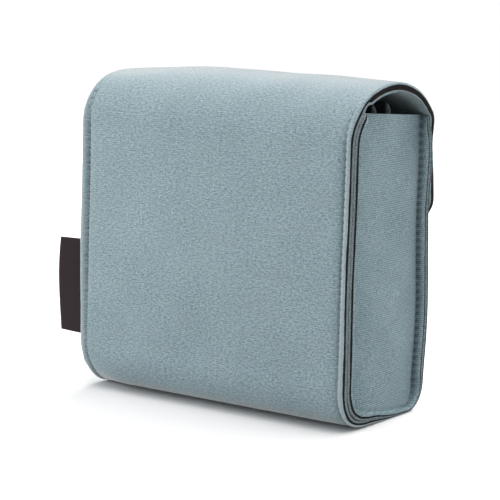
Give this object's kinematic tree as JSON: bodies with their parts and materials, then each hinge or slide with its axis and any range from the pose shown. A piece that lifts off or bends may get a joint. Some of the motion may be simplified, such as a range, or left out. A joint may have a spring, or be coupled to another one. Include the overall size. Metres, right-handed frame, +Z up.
{
  "type": "lens filter pouch",
  "caption": "Soft upright pouch for camera lens filters, with sewn-in end gussets, padded dividers and an arched flap that lifts and closes on the front by hook and loop.",
  "frame": {"origin": "on the flat bottom where the pouch stands, midway between the front and back panels", "axes": "+Z up; +X along the width, towards the end with the label; -Y is the front, where the flap closes"},
  "size_m": [0.116, 0.054, 0.1117],
  "materials": {
    "brushed_cloth": "brushed teal-grey knit with a short soft pile",
    "lining_cloth": "smooth pale teal-grey knit",
    "foam_core": "black closed-cell foam with cut edges",
    "stiffener_board": "dark brown thin board",
    "sewing_thread": "blue-grey polyester sewing thread",
    "loop_tape": "teal-grey loop pile tape",
    "hook_tape": "dark grey hook tape",
    "woven_label": "dark brown satin woven ribbon",
    "divider_cloth": "black brushed knit"
  },
  "bodies": {
    "pouch": {"wrap_face_fabric": "brushed_cloth", "wrap_foam_core": "foam_core", "wrap_lining": "lining_cloth", "gusset_left_face_fabric": "brushed_cloth", "gusset_left_foam_core": "foam_core", "gusset_left_lining": "lining_cloth", "gusset_right_face_fabric": "brushed_cloth", "gusset_right_foam_core": "foam_core", "gusset_right_lining": "lining_cloth", "seam_thread_left": "sewing_thread", "seam_thread_right": "sewing_thread", "bobbin_thread_left": "sewing_thread", "bobbin_thread_right": "sewing_thread", "loop_patch": "loop_tape", "loop_patch_thread": "sewing_thread", "label_tail": "woven_label", "divider_1_base_tape": "divider_cloth", "divider_2_base_tape": "divider_cloth", "divider_3_base_tape": "divider_cloth"},
    "flap": {"flap_arch_face_fabric": "brushed_cloth", "flap_arch_foam_core": "foam_core", "flap_arch_stiffener": "stiffener_board", "flap_arch_lining": "lining_cloth"},
    "flap_front": {"flap_front_face_fabric": "brushed_cloth", "flap_front_foam_core": "foam_core", "flap_front_stiffener": "stiffener_board", "flap_front_lining": "lining_cloth", "hook_patch": "hook_tape", "hook_patch_thread": "sewing_thread"},
    "divider_1": {"divider_1_cover": "divider_cloth", "divider_1_pad": "foam_core"},
    "divider_2": {"divider_2_cover": "divider_cloth", "divider_2_pad": "foam_core"},
    "divider_3": {"divider_3_cover": "divider_cloth", "divider_3_pad": "foam_core"},
    "label": {"label_loop": "woven_label"}
  },
  "joints": [
    {"name": "flap_lift", "type": "hinge", "parent": "pouch", "child": "flap", "pos_m": [0, 0.01444, 0.10765], "axis": [-1, 0, 0], "range_deg": [0, 150]},
    {"name": "flap_peel", "type": "hinge", "parent": "flap", "child": "flap_front", "pos_m": [0, -0.029, 0.09685], "axis": [-1, 0, 0], "range_deg": [0, 95]},
    {"name": "divider_1_lean", "type": "hinge", "parent": "pouch", "child": "divider_1", "pos_m": [0, 0.0054, 0.00325], "axis": [1, 0, 0], "range_deg": [-2.2, 1.4], "stiffness_Nm_per_rad": 0.05},
    {"name": "divider_2_lean", "type": "hinge", "parent": "pouch", "child": "divider_2", "pos_m": [0, -0.0035, 0.00325], "axis": [1, 0, 0], "range_deg": [-1.4, 1.4], "stiffness_Nm_per_rad": 0.05},
    {"name": "divider_3_lean", "type": "hinge", "parent": "pouch", "child": "divider_3", "pos_m": [0, -0.0124, 0.00325], "axis": [1, 0, 0], "range_deg": [-1.4, 2.2], "stiffness_Nm_per_rad": 0.05},
    {"name": "label_flex", "type": "hinge", "parent": "pouch", "child": "label", "pos_m": [0.05315, 0.02235, 0.0355], "axis": [0, 0, 1], "range_deg": [-45, 45], "stiffness_Nm_per_rad": 0.0002}
  ]
}
